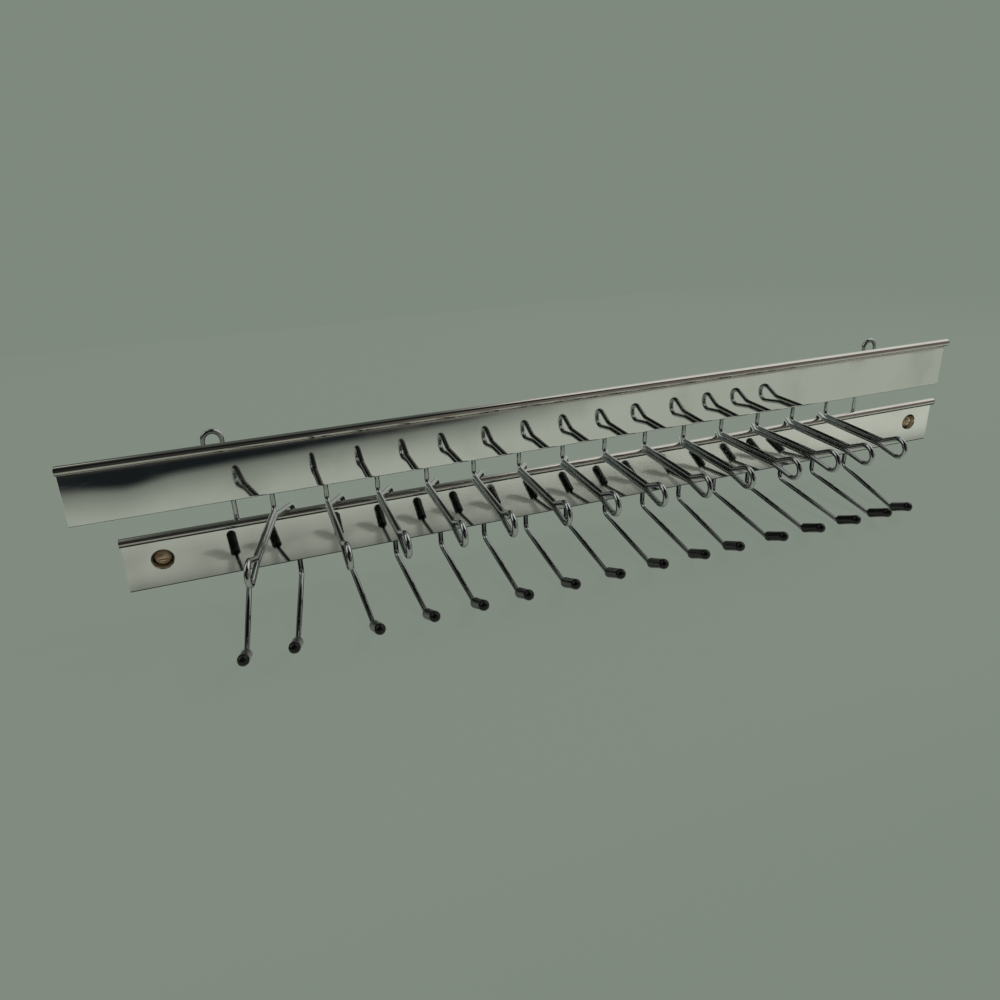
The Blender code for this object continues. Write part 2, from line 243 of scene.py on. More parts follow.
class StageSettings(bpy.types.PropertyGroup):
    """Floor, light and camera of the photo stage."""

    backdrop: colour("Backdrop", "Flat colour round the object", (0.213, 0.252, 0.211))
    floor_tint: colour("Floor", "Colour of the pale floor", (0.70, 0.735, 0.66))
    floor_glow: colour("Floor in Metal", "Pale floor as bright metal shows it", (0.50, 0.545, 0.47))
    floor_height: real("Floor Height", "Level of the floor", -0.0295, unit="LENGTH")
    floor_low: place("Floor Corner", "Left front corner of the floor", (-1.3, -0.238, 0))
    floor_high: place("Floor Far Corner", "Right back corner of the floor", (1.7, 0.60, 0))
    floor_shadow: share("Floor Shadow", "How much of the lit floor the camera sees", 0.025)
    metal_floor: share("Metal Floor", "How flat the floor is in metal near the rack", 0.1)
    metal_backdrop: share("Metal Backdrop", "How much of the backdrop metal shows", 0.3)
    room_back: colour("Room Back", "Dim room behind the rack", (0.105, 0.117, 0.11))
    room_front: colour("Room Front", "Dark room in front of the rack", (0.014, 0.016, 0.017))
    # Painted shade: the dark colour that metal sees on the floor right below the rack, and beyond its front
    # edge.
    under: colour("Under", "Dark floor right below the rack", (0.012, 0.016, 0.018))
    horizon: colour("Horizon", "Warm far side of the room", (0.235, 0.205, 0.185))
    window: colour("Window", "Pale windows of the room", (1.0, 1.0, 0.97))
    window_power: real("Window Power", "How bright those windows are", 1.35)
    key_place: place("Key Place", "Middle of the soft key light", (1.5, 0.0, 1.17))
    key_target: place("Key Target", "What the key light faces", (0, -0.12, 0))
    key_size: size("Key Size", "Side of the key light", 0.42)
    key_power: real("Key Power", "Power of the key light in watts", 25.0, unit="POWER")
    fill_place: place("Fill Place", "Middle of the fill light", (-1.15, 0.15, 0.80))
    fill_target: place("Fill Target", "What the fill light faces", (0, 0, 0))
    fill_size: size("Fill Size", "Side of the fill light", 0.35)
    fill_power: real("Fill Power", "Power of the fill light in watts", 1.0, unit="POWER")
    camera_place: place("Camera Place", "Where the picture is taken from", (-0.17283, -0.33764, 0.16501))
    camera_turn: triple("Camera Turn", "Rotation of the camera",
                        [math.radians(turn) for turn in (68.719, 1.653, -20.471)], subtype="EULER")
    lens: real("Lens", "Focal length in millimetres", 27.78, unit="CAMERA")
    shift_x: real("Shift X", "Sideways shift of the picture", -0.0026)
    shift_y: real("Shift Y", "Upward shift of the picture", -0.0531)


class TieRackSettings(bpy.types.PropertyGroup):
    """All sizes and finishes of the tie rack."""

    rails: PointerProperty(type=RailSizes)
    wires: PointerProperty(type=WireSizes)
    caps: PointerProperty(type=CapSizes)
    screws: PointerProperty(type=ScrewSizes)
    welds: PointerProperty(type=WeldSizes)
    chrome: PointerProperty(type=ChromeFinish)
    vinyl: PointerProperty(type=VinylFinish)
    brass: PointerProperty(type=BrassFinish)
    stage: PointerProperty(type=StageSettings)


# Shader maths


class Value:
    """A node's output that takes part in Python expressions."""

    def __init__(self, graph, socket):
        self.graph = graph
        self.socket = socket

    def __add__(self, other):
        return self.graph.math("ADD", self, other)

    def __radd__(self, other):
        return self.graph.math("ADD", other, self)

    def __sub__(self, other):
        return self.graph.math("SUBTRACT", self, other)

    def __rsub__(self, other):
        return self.graph.math("SUBTRACT", other, self)

    def __mul__(self, other):
        return self.graph.math("MULTIPLY", self, other)

    def __rmul__(self, other):
        return self.graph.math("MULTIPLY", other, self)

    def __pow__(self, other):
        return self.graph.math("POWER", self, other)

    def __rpow__(self, other):
        return self.graph.math("POWER", other, self)

    def __abs__(self):
        return self.graph.math("ABSOLUTE", self)

    def sine(self):
        """Sine of this value."""
        return self.graph.math("SINE", self)

    def ramp(self, low, high):
        """0 below low, 1 above high and a smooth rise between them; high may be the lower one."""
        return self.graph.node("ShaderNodeMapRange", {"interpolation_type": "SMOOTHSTEP"},
                               {"Value": self, "From Min": low, "From Max": high})


class Graph:
    """The node tree of a material or the world, filled by expressions."""

    def __init__(self, owner):
        owner.use_nodes = True
        self.owner = owner
        self.tree = owner.node_tree
        self.tree.nodes.clear()

    def node(self, kind, settings, sockets, output=0):
        """Adds a node, its settings first, then its sockets, and gives one output, or all for None."""
        made = self.tree.nodes.new(kind)
        for name, value in settings.items():
            setattr(made, name, value)
        for key, value in sockets.items():
            if isinstance(value, Value):
                self.tree.links.new(value.socket, made.inputs[key])
            else:
                made.inputs[key].default_value = value
        if output is None:
            return [Value(self, socket) for socket in made.outputs]
        return Value(self, made.outputs[output]) if made.outputs else None

    def math(self, operation, first, second=0.0):
        """A Math node on one or two values."""
        return self.node("ShaderNodeMath", {"operation": operation}, {0: first, 1: second})

    def mix(self, factor, first, second):
        """Two colours mixed; plain colours have three numbers."""
        ends = {6: first, 7: second}
        opaque = {key: end if isinstance(end, Value) else (*end, 1.0) for key, end in ends.items()}
        return self.node("ShaderNodeMix", {"data_type": "RGBA"}, {0: factor, **opaque}, 2)

    def position(self, scale=(1.0, 1.0, 1.0)):
        """Place on the object in metres, stretched by a scale."""
        point = self.node("ShaderNodeTexCoord", {}, {}, "Object")
        return self.node("ShaderNodeVectorMath", {"operation": "MULTIPLY"}, {0: point, 1: scale})

    def axes(self, vector):
        """The X, Y and Z of a vector."""
        return self.node("ShaderNodeSeparateXYZ", {}, {0: vector}, None)

    def noise(self, scale, detail=2.0, stretch=(1.0, 1.0, 1.0)):
        """Soft noise between 0 and 1; scale counts its grains in a metre."""
        return self.node("ShaderNodeTexNoise", {}, {"Vector": self.position(stretch), "Scale": scale,
                                                    "Detail": detail})

    def bump(self, height, distance, normal=None):
        """A normal that follows a height in metres times a distance."""
        sockets = {"Height": height, "Distance": distance, "Strength": 1.0}
        if normal:
            sockets["Normal"] = normal
        return self.node("ShaderNodeBump", {}, sockets)

    def surface(self, **sockets):
        """Ends a material in Principled sockets, named with underscores, and gives the material."""
        named = {name.replace("_", " "): value for name, value in sockets.items()}
        shader = self.node("ShaderNodeBsdfPrincipled", {}, named)
        self.node("ShaderNodeOutputMaterial", {}, {"Surface": shader})
        return self.owner


def chrome_plate(name, finish, tint, grain, rolls=()):
    """Bright plating with rolling lines, finger haze, hairline scratches and a few dark pits; rolls are the
    lower and upper heights of beads, which get painted shade: a brown tint that dims what they reflect."""
    lines, relief, wear = grain
    graph = Graph(bpy.data.materials.new(name))
    haze = graph.noise(42, 4).ramp(0.46, 0.74)
    polish = graph.noise(1.0, 3, lines)
    hairs = abs(graph.noise(1.0, 2, [value * 0.31 for value in lines]) - 0.5).ramp(0.006, 0.0)
    pits = graph.noise(2600, 1).ramp(0.745, 0.80) * graph.noise(60, 2).ramp(0.50, 0.66) * wear
    clouds = graph.noise(15, 3)
    clean = graph.mix(clouds.ramp(0.3, 0.75) * 0.55, tint, [value * 0.86 for value in tint])
    tired = graph.mix(haze * 0.16, clean, finish.tarnish)
    base = graph.mix(pits * 0.85, tired, finish.tarnish)
    _, _, height = graph.axes(graph.position())
    fade = 0.0002
    # Painted shade on each bead: a brown tint over it that dims what it reflects.
    for low, high in rolls:
        bead_shade_mask = height.ramp(low - fade, low + fade) * height.ramp(high + fade, high)
        base = graph.mix(bead_shade_mask * finish.bead_wear, base, finish.tarnish)
    roughness = finish.roughness + haze * finish.haze + hairs * 0.04 + polish * 0.02 + pits * 0.3
    wave = graph.bump(graph.noise(16, 1), 0.00007)
    normal = graph.bump(polish + hairs * -0.4 - pits, relief, wave)
    return graph.surface(Base_Color=base, Metallic=1.0, Roughness=roughness, Normal=normal)


def dipped_vinyl(name, finish):
    """Glossy black vinyl with a faint orange peel, a dull bloom and a few rub marks."""
    graph = Graph(bpy.data.materials.new(name))
    bloom = graph.noise(240, 5).ramp(0.48, 0.74)
    rubs = graph.noise(700, 2, (1.0, 1.0, 0.16)).ramp(0.60, 0.70)
    peel = graph.noise(900, 2)
    base = graph.mix(bloom * 0.35, finish.tint, finish.bloom)
    worn = graph.mix(rubs * 0.3, base, finish.bloom)
    roughness = finish.roughness + bloom * 0.16 + rubs * 0.14
    normal = graph.bump(peel + rubs * 0.3, 0.000045)
    return graph.surface(Base_Color=worn, Roughness=roughness, Normal=normal, IOR=1.35)


def aged_brass(name, finish, screws):
    """Brown brass with turning lines; rubbed and a painted highlight on the crown, darker lower down, dirt in
    the slot.
    """
    graph = Graph(bpy.data.materials.new(name))
    across, upward, along = graph.axes(graph.position())
    radius = (across * across + upward * upward) ** 0.5
    crown = radius.ramp(screws.head_radius * 1.05, screws.head_radius * 0.35)
    deep = along.ramp(-screws.head_height + screws.slot_depth * 0.45, -screws.head_height * 0.98)
    blotch = graph.noise(1500, 4)
    # The rubbed share is partly a painted highlight: full only on the top of the dome, with the sides kept
    # darker.
    rubbed = (crown * 0.75 + blotch * 0.6 - 0.28).ramp(0.0, 0.6) * (deep * 0.7 + 0.3)
    lines = (radius * 52000.0).sine() * 0.5 + graph.noise(5200, 2)
    base = graph.mix(rubbed, finish.patina, finish.bright)
    dark = graph.mix(blotch.ramp(0.56, 0.70) * 0.5, base, [value * 0.45 for value in finish.patina])
    roughness = finish.roughness + (1 - rubbed) * 0.16 + blotch * 0.08
    return graph.surface(Base_Color=dark, Metallic=rubbed * 0.3 + 0.6, Roughness=roughness,
                         Normal=graph.bump(lines, 0.000006))


def burnt_weld(name, finish):
    """Plated weld metal: duller and lumpier than the wires beside it."""
    graph = Graph(bpy.data.materials.new(name))
    lumps = graph.noise(1400, 4)
    heat = graph.noise(320, 2).ramp(0.40, 0.66)
    base = graph.mix(heat * 0.7, [value * 0.72 for value in finish.rail_tint], finish.tarnish)
    return graph.surface(Base_Color=base, Metallic=1.0, Roughness=0.24 + heat * 0.2,
                         Normal=graph.bump(lumps, 0.00012))


# Shapes


def arc(centre, radius, start, end, step=FINE_STEP):
    """Points (a, b) along a circle, both ends included."""
    count = max(2, math.ceil(abs(end - start) / step))
    turns = [start + (end - start) * k / count for k in range(count + 1)]
    return [(centre[0] + radius * math.cos(turn), centre[1] + radius * math.sin(turn)) for turn in turns]


def fillet(before, corner, after, radius):
    """Points of the round that takes a corner's place on a bent path."""
    back = (before - corner).normalized()
    ahead = (after - corner).normalized()
    opening = back.angle(ahead)
    run = radius / math.tan(opening / 2)
    centre = corner + (back + ahead).normalized() * (radius / math.sin(opening / 2))
    start = corner + back * run - centre
    axis = start.cross(corner + ahead * run - centre).normalized()
    sweep = math.pi - opening
    count = max(2, math.ceil(sweep / FINE_STEP))
    return [centre + Matrix.Rotation(sweep * k / count, 3, axis) @ start for k in range(count + 1)]


def bent_path(stations):
    """The path through (point, bend radius) stations, each bend rounded."""
    points = [point for point, _ in stations]
    path = [points[0]]
    for k in range(1, len(stations) - 1):
        point, radius = stations[k]
        path += fillet(points[k - 1], point, points[k + 1], radius) if radius else [point]
    return path + [points[-1]]


def rounded_outline(stations):
    """A flat outline (a, b) with rounded corners, from ((a, b), radius) stations."""
    path = bent_path([(Vector((a, b, 0)), radius) for (a, b), radius in stations])
    return [(point.x, point.y) for point in path]


def new_object(name, data):
    """An object for a mesh or curve, linked to the scene."""
    obj = bpy.data.objects.new(name, data)
    bpy.context.scene.collection.objects.link(obj)
    return obj


def mesh_from(bm, name):
    """A mesh with faces turned outwards, from a bmesh that ends here."""
    bmesh.ops.recalc_face_normals(bm, faces=bm.faces[:])
    mesh = bpy.data.meshes.new(name)
    bm.to_mesh(mesh)
    bm.free()
    return mesh


def fix_order(bm):
    """Sorts a bmesh along a slanted line, since Blender makes a sphere's faces in no fixed order."""
    line = Vector((1.0, 0.618, 0.271))
    bm.verts.sort(key=lambda vert: vert.co.dot(line))
    bm.edges.sort(key=lambda edge: (edge.verts[0].co + edge.verts[1].co).dot(line))
    bm.faces.sort(key=lambda face: face.calc_center_median().dot(line))


def smooth(mesh, limit=SHARP_ANGLE):
    """Smooth shading that stops at edges sharper than a limit."""
    mesh.polygons.foreach_set("use_smooth", [True] * len(mesh.polygons))
    mesh.set_sharp_from_angle(angle=limit)


def lathe(outline, sides, name, swell=None):
    """An outline (radius, height) turned about Z; swell adds to the radius by turn and height."""
    bm = bmesh.new()
    rings = []
    for radius, height in outline:
        if radius < 1e-7:
            rings.append([bm.verts.new((0, 0, height))])
            continue
        ring = []
        for k in range(sides):
            turn = 2 * math.pi * k / sides
            out = radius + (swell(turn, height) if swell else 0)
            ring.append(bm.verts.new((out * math.cos(turn), out * math.sin(turn), height)))
        rings.append(ring)
    pairs = list(zip(rings, rings[1:]))
    if len(rings[0]) > 1 and len(rings[-1]) > 1:
        pairs.append((rings[-1], rings[0]))
    for lower, upper in pairs:
        for k in range(sides):
            corners = [lower[k % len(lower)], lower[(k + 1) % len(lower)]]
            corners += [upper[(k + 1) % len(upper)], upper[k % len(upper)]]
            bm.faces.new(list(dict.fromkeys(corners)))
    return mesh_from(bm, name)


def extrude_along_x(outline, low, high, name):
    """A section (y, z) run along X between two ends."""
    bm = bmesh.new()
    ends = [[bm.verts.new((x, y, z)) for y, z in outline] for x in (low, high)]
    bm.faces.new(ends[0])
    bm.faces.new(ends[1])
    count = len(outline)
    for k in range(count):
        after = (k + 1) % count
        bm.faces.new((ends[0][k], ends[0][after], ends[1][after], ends[1][k]))
    return mesh_from(bm, name)


def apply_modifiers(obj):
    """Puts what an object's modifiers make into its mesh."""
    depsgraph = bpy.context.evaluated_depsgraph_get()
    made = bpy.data.meshes.new_from_object(obj.evaluated_get(depsgraph))
    obj.modifiers.clear()
    obj.data = made


def cut(obj, tool_mesh, matrix, operation, solver):
    """Joins a closed shape to an object, or takes it away, and drops the tool."""
    tool = new_object("cutter", tool_mesh)
    tool.matrix_world = matrix
    modifier = obj.modifiers.new("cut", "BOOLEAN")
    modifier.operation = operation
    modifier.solver = solver
    modifier.object = tool
    bpy.context.view_layer.update()
    apply_modifiers(obj)
    bpy.data.objects.remove(tool)


def soften_ends(obj, width, segments=2):
    """Rounds an object's square edges a little."""
    modifier = obj.modifiers.new("soft_ends", "BEVEL")
    modifier.width = width
    modifier.segments = segments
    modifier.limit_method = "ANGLE"
    modifier.angle_limit = END_ANGLE
    apply_modifiers(obj)


def wire_object(name, path, wires):
    """A round wire along a path, its first end a little rounded."""
    radius = wires.diameter / 2
    curve = bpy.data.curves.new(name, "CURVE")
    curve.dimensions = "3D"
    curve.bevel_depth = radius
    curve.bevel_resolution = wires.bevel_steps
    curve.use_fill_caps = True
    first = path[0]
    run = (path[1] - first).normalized()
    nose = [(first + run * (radius * (1 - math.cos(turn))), math.sin(turn)) for turn in NOSE_TURNS]
    rounded = nose + [(point, 1.0) for point in path[1:]]
    spline = curve.splines.new("POLY")
    spline.points.add(len(rounded) - 1)
    for spot, (point, width) in zip(spline.points, rounded):
        spot.co = (*point, 1.0)
        spot.radius = width
    return new_object(name, curve)


def dress(piece, material, node=None):
    """Gives a piece its finish and its place on the frame, and checks that it fills the solid's box."""
    piece.data.materials.clear()
    piece.data.materials.append(material)
    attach(piece, BODY)
    if not node:
        return
    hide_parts(node)
    shown = piece.evaluated_get(bpy.context.evaluated_depsgraph_get())
    mesh = shown.to_mesh()
    points = [shown.matrix_world @ vert.co for vert in mesh.vertices]
    shown.to_mesh_clear()
    for corner, worst in zip(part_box(node), (min, max)):
        for axis in range(3):
            away = worst(point[axis] for point in points) - corner[axis]
            if abs(away) > FIT_EASE:
                apart = f"{away * 1000:.2f} mm along axis {axis}"
                raise RuntimeError(f"{piece.name} departs from {node} by {apart}")


# Rails


def rail_section(rails, height):
    """Section (y, z) of a rail: front face at y = 0, foot at z = 0, its top edge rolled to the front."""
    sheet = rails.sheet
    edge = rails.edge_round
    back = rails.edge_break
    bead = rails.bead_radius
    turn = rails.bead_turn
    centre = (sheet - bead, height - bead)
    middle = bead - sheet / 2
    lip = (centre[0] + middle * math.cos(turn), centre[1] + middle * math.sin(turn))
    flat_top = height - bead - SUPPORT
    points = [(sheet, back + SUPPORT), (sheet, flat_top)]
    points += arc(centre, bead, 0, turn)
    points += arc(lip, sheet / 2, turn, turn + math.pi, 3 * FINE_STEP)[1:-1]
    points += arc(centre, bead - sheet, turn, 0)
    points += [(0, flat_top), (0, edge + SUPPORT)]
    points += arc((edge, edge), edge, math.pi, 1.5 * math.pi, 3 * FINE_STEP)
    points += arc((sheet - back, back), back, 1.5 * math.pi, 2 * math.pi, 3 * FINE_STEP)
    return points


def rail_front(rails, low):
    """Y of a rail's flat front face, from its box: the bead stands in front of it."""
    return low.y + 2 * rails.bead_radius - rails.sheet


def rail_object(name, rails, low, high):
    """A rail between the ends of its box."""
    front = rail_front(rails, low)
    section = [(y + front, z + low.z) for y, z in rail_section(rails, high.z - low.z)]
    return new_object(name, extrude_along_x(section, low.x, high.x, name))


def screw_places(rails):
    """X of the two screws, by side."""
    middle = (LOWER_LOW.x + LOWER_HIGH.x) / 2
    reach = (LOWER_HIGH.x - LOWER_LOW.x) / 2 - rails.screw_inset
    return {side: middle + sign * reach for side, sign in SIDES.items()}


def into_wall(x, y):
    """A turned shape's matrix: its axis points into the wall, at the height of the lower rail's middle."""
    return Matrix.Translation((x, y, LOWER_MIDDLE)) @ Matrix.Rotation(-math.pi / 2, 4, "X")


def press_seats(obj, rails):
    """Presses the two dished screw seats through the lower rail, down to the wall."""
    front = rail_front(rails, LOWER_LOW)
    sheet = rails.sheet
    floor = LOWER_HIGH.y - front - sheet
    lift = 0.00005
    far = rails.seat_mouth + 3 * sheet
    boss = rounded_outline([((0, sheet / 2), 0), ((rails.seat_mouth + sheet, sheet / 2), 0),
                            ((rails.seat_floor + sheet, floor + sheet), rails.floor_round),
                            ((0, floor + sheet), 0)])
    dish = rounded_outline([((0, -sheet), 0), ((far, -sheet), 0), ((far, -lift), 0),
                            ((rails.seat_mouth, -lift), rails.mouth_round),
                            ((rails.seat_floor, floor), rails.floor_round),
                            ((rails.seat_hole, floor), 0), ((rails.seat_hole, floor + 2 * sheet), 0),
                            ((0, floor + 2 * sheet), 0)])
    for x in screw_places(rails).values():
        cut(obj, lathe(boss, SEAT_SIDES, "boss"), into_wall(x, front), "UNION", "MANIFOLD")
        cut(obj, lathe(dish, SEAT_SIDES, "dish"), into_wall(x, front), "DIFFERENCE", "MANIFOLD")


class TIERACK_OT_rails(bpy.types.Operator):
    """Rolls the two rails and presses the screw seats into the lower one"""

    bl_idname = "tie_rack.rails"
    bl_label = "Rails"

    def execute(self, context):
        settings = context.scene.tie_rack
        rails = settings.rails
        chrome = settings.chrome
        rolls = [(high.z - 2 * rails.bead_radius, high.z) for high in (UPPER_HIGH, LOWER_HIGH)]
        plate = chrome_plate("rail_chrome", chrome, chrome.rail_tint, RAIL_GRAIN, rolls)
        upper = rail_object("rail_upper", rails, UPPER_LOW, UPPER_HIGH)
        lower = rail_object("rail_lower", rails, LOWER_LOW, LOWER_HIGH)
        press_seats(lower, rails)
        for rail, node in ((upper, "upper_rail"), (lower, "lower_rail")):
            soften_ends(rail, rails.end_round)
            smooth(rail.data)
            dress(rail, plate, node)
        return {"FINISHED"}


# Wires


def wire_planes(wires):
    """Y of the wires behind the upper rail and behind the lower one."""
    rails = bpy.context.scene.tie_rack.rails
    back_of_lower = rail_front(rails, LOWER_LOW) + rails.sheet
    stand_off = wires.diameter / 2 + wires.weld_gap
    return UPPER_HIGH.y + stand_off, back_of_lower + stand_off


def peg_x(wires, number):
    """X of a peg's upright; the two hangers stand a little further out."""
    run = LOWER_HIGH.x - LOWER_LOW.x - wires.left_margin - wires.right_margin
    even = LOWER_LOW.x + wires.left_margin + (number - 1) * run / (PEG_COUNT - 1)
    return even + {1: -wires.hanger_out, PEG_COUNT: wires.hanger_out}.get(number, 0)


def hook_x(wires, number):
    """X of a loop hook, which steps sideways to the next peg."""
    return peg_x(wires, number + 1) - wires.hook_to_peg


def outward(x, plane, lean, reach, height):
    """A point some way out from the rack, on a line that leans sideways."""
    return Vector((x + reach * math.sin(lean), plane - reach * math.cos(lean), height))


def peg_axis(wires, number):
    """The bend at a peg's tip and the direction in which the tip turns up."""
    lean = math.radians(PEG_LEAN.get(number, 0))
    _, plane = wire_planes(wires)
    height = LOWER_LOW.z - wires.peg_drop - wires.peg_fall
    corner = outward(peg_x(wires, number), plane, lean, wires.peg_reach, height)
    flat = math.cos(wires.tip_angle)
    return corner, Vector((flat * math.sin(lean), -flat * math.cos(lean), math.sin(wires.tip_angle)))


def peg_stations(wires, number):
    """A wire's way under the lower rail, out as a peg and up into the cap."""
    corner, direction = peg_axis(wires, number)
    _, plane = wire_planes(wires)
    foot = Vector((peg_x(wires, number), plane, LOWER_LOW.z - wires.peg_drop))
    end = corner + direction * (wires.cap_start + wires.in_cap)
    return [(foot, wires.peg_bend), (corner, wires.tip_bend), (end, 0)]


def touch_angle(centre, radius, point, side):
    """Where a straight line from a point meets a circle, as a turn about its centre."""
    away = math.hypot(point[0] - centre[0], point[1] - centre[1])
    towards = math.atan2(point[1] - centre[1], point[0] - centre[0])
    return towards + side * math.acos(radius / away)


def ring_stations(wires, x, lean, jog, root):
    """A hook's way out over its neck, round the ring and back through the lower arm's belly."""
    plane, _ = wire_planes(wires)
    radius = wires.ring_radius
    centre = (wires.ring_reach, jog - wires.ring_drop + radius)
    neck = (wires.neck_reach, root + wires.arm_split)
    belly = (wires.belly_reach, root)
    top = touch_angle(centre, radius, neck, -1) % (2 * math.pi)
    turn = arc(centre, radius, top, touch_angle(centre, radius, belly, 1))
    spots = [(neck, wires.neck_bend)] + [(spot, 0) for spot in turn] + [(belly, wires.belly_bend)]
    return [(outward(x, plane, lean, *spot), bend) for spot, bend in spots]


def hook_path(wires, number):
    """The whole bent wire of a loop hook and its peg."""
    peg = number + 1
    x = hook_x(wires, number)
    lean = math.radians(HOOK_LEAN.get(number, 0))
    upper, lower = wire_planes(wires)
    jog = LOWER_HIGH.z + wires.weld_gap + wires.diameter / 2
    root = jog + wires.root_rise
    stations = [(Vector((x, upper, UPPER_LOW.z + wires.run_up)), 0)]
    stations += [(Vector((x, upper, root + wires.arm_split)), wires.bend)]
    stations += ring_stations(wires, x, lean, jog, root)
    stations += [(Vector((x, upper, root)), wires.bend)]
    stations += [(Vector((peg_x(wires, peg), lower, jog)), wires.bend)]
    return bent_path(stations + peg_stations(wires, peg))


def hanger_path(wires, side):
    """The wire of a hanger: free end, eye, long upright and peg."""
    _, plane = wire_planes(wires)
    sign = SIDES[side]
    peg = 1 if sign < 0 else PEG_COUNT
    radius = wires.eye_width / 2
    middle = peg_x(wires, peg) + sign * (getattr(wires, f"lean_{side}") + radius)
    crown = UPPER_LOW.z + wires.eye_top - wires.diameter / 2 - radius
    stations = [(Vector((middle + sign * radius, plane, crown - wires.eye_tail)), 0)]
    for across, height in arc((0, crown), radius, 0, math.pi):
        stations.append((Vector((middle + sign * across, plane, height)), 0))
    return bent_path(stations + peg_stations(wires, peg))


class TIERACK_OT_loop_hooks(bpy.types.Operator):
    """Bends the wires that are loop hooks above and pegs below"""

    bl_idname = "tie_rack.loop_hooks"
    bl_label = "Loop Hooks"

    def execute(self, context):
        settings = context.scene.tie_rack
        wires = settings.wires
        chrome = settings.chrome
        plate = chrome_plate("wire_chrome", chrome, chrome.wire_tint, WIRE_GRAIN)
        for number in range(1, HOOK_COUNT + 1):
            path = hook_path(wires, number)
            hook = wire_object(f"hook_wire_{number:02d}", path, wires)
            dress(hook, plate, f"loop_hook_{number:02d}")
        return {"FINISHED"}


class TIERACK_OT_hangers(bpy.types.Operator):
    """Bends the two end wires, each with an eye at its top and a peg at its foot"""

    bl_idname = "tie_rack.hangers"
    bl_label = "Hangers"

    def execute(self, context):
        wires = context.scene.tie_rack.wires
        plate = bpy.data.materials["wire_chrome"]
        for side in SIDES:
            path = hanger_path(wires, side)
            hanger = wire_object(f"hanger_wire_{side}", path, wires)
            dress(hanger, plate, f"hanger_{side}")
        return {"FINISHED"}


# Caps, screws and welds


def cap_outline(caps, wire_end):
    """Half section of a cap about Z: bore, rolled lip, a body shrunk onto the wire, and a full round end."""
    radius = caps.radius
    lip = caps.lip
    body_end = caps.length - radius
    outline = [(0, wire_end), (caps.bore, wire_end), (caps.bore, lip / 2)]
    outline += arc((caps.bore + lip / 2, lip / 2), lip / 2, math.pi, 1.5 * math.pi, 3 * FINE_STEP)[1:]
    outline += arc((radius - lip, lip), lip, -math.pi / 2, 0, 2 * FINE_STEP)
    start = 2 * lip
    for k in range(1, CAP_STEPS):
        height = start + (body_end - start) * k / CAP_STEPS
        outline.append((radius - caps.waist * math.sin(math.pi * k / CAP_STEPS) ** 0.6, height))
    outline += arc((0, body_end), radius, 0, math.pi / 2)[:-1]
    return outline + [(0, caps.length)]


class TIERACK_OT_peg_caps(bpy.types.Operator):
    """Dips a soft cap onto the upturned tip of each peg"""

    bl_idname = "tie_rack.peg_caps"
    bl_label = "Peg Caps"

    def execute(self, context):
        settings = context.scene.tie_rack
        wires = settings.wires
        caps = settings.caps
        vinyl = dipped_vinyl("cap_vinyl", settings.vinyl)
        outline = cap_outline(caps, wires.in_cap + wires.weld_gap)
        for number in range(1, PEG_COUNT + 1):
            corner, direction = peg_axis(wires, number)
            mesh = lathe(outline, caps.sides, f"cap_{number:02d}")
            smooth(mesh, CAP_ANGLE)
            cap = new_object(f"cap_{number:02d}", mesh)
            turn = direction.to_track_quat("Z", "Y").to_matrix().to_4x4()
            cap.matrix_world = Matrix.Translation(corner + direction * wires.cap_start) @ turn
            dress(cap, vinyl, f"peg_cap_{number:02d}")
        return {"FINISHED"}


def screw_outline(screws):
    """Half section of a screw about Z: round head in front, neck, and a fine row of steps for the thread."""
    head = screws.head_radius
    height = screws.head_height
    land = 0.00025
    ball = ((height - land) ** 2 + head ** 2) / (2 * (height - land))
    spread = math.asin(head / ball)
    centre = ball - height
    dome = [(ball * math.sin(turn), centre - ball * math.cos(turn))
            for turn in (spread * k / DOME_STEPS for k in range(DOME_STEPS + 1))]
    root = screws.shank_radius - screws.thread_depth
    outline = [(0, -height)] + dome[1:] + [(head, -land * 0.4), (head - land * 0.4, 0)]
    neck = screws.plain_length
    outline += [(screws.shank_radius, 0), (screws.shank_radius, neck), (root, neck)]
    taper = screws.shank_length - screws.point_length
    for k in range(1, THREAD_STEPS + 1):
        z = neck + (screws.shank_length - neck) * k / THREAD_STEPS
        narrow = max(0.0, (z - taper) / screws.point_length)
        outline.append((root + (screws.point_tip * 0.6 - root) * narrow, z))
    return outline + [(0, screws.shank_length)]


def thread_swell(screws):
    """How much a thread adds to the radius, by turn and height: a helical ridge that fades into the point."""
    start = 0.0002
    run_in = 0.0008
    half_ridge = 0.26

    def swell(turn, height):
        past = height - screws.plain_length - start
        if past <= 0:
            return 0
        phase = (height / screws.thread_pitch - turn / (2 * math.pi)) % 1
        ridge = max(0.0, 1 - abs(phase - 0.5) / half_ridge)
        run_out = max(0.0, (screws.shank_length - height) / (0.7 * screws.point_length))
        return screws.thread_depth * ridge * min(1.0, past / run_in, run_out)
    return swell


class TIERACK_OT_screws(bpy.types.Operator):
    """Turns the two round-head wood screws, cuts their slots and sets them in their seats"""

    bl_idname = "tie_rack.screws"
    bl_label = "Screws"

    def execute(self, context):
        settings = context.scene.tie_rack
        screws = settings.screws
        rails = settings.rails
        brass = aged_brass("screw_brass", settings.brass, screws)
        floor = LOWER_HIGH.y - rails.sheet - screws.head_gap
        for side, x in screw_places(rails).items():
            mesh = lathe(screw_outline(screws), screws.sides, f"wood_screw_{side}", thread_swell(screws))
            screw = new_object(f"wood_screw_{side}", mesh)
            bm = bmesh.new()
            bmesh.ops.create_cube(bm, size=1)
            scale = Matrix.Diagonal((4 * screws.head_radius, screws.slot_width, 2 * screws.slot_depth, 1))
            slot_place = Matrix.Translation((0, 0, -screws.head_height)) @ scale
            cut(screw, mesh_from(bm, "slot"), slot_place, "DIFFERENCE", "EXACT")
            soften_ends(screw, screws.slot_break)
            smooth(screw.data, SCREW_ANGLE)
            screw.matrix_world = into_wall(x, floor)
            dress(screw, brass, f"screw_{side}")
        return {"FINISHED"}


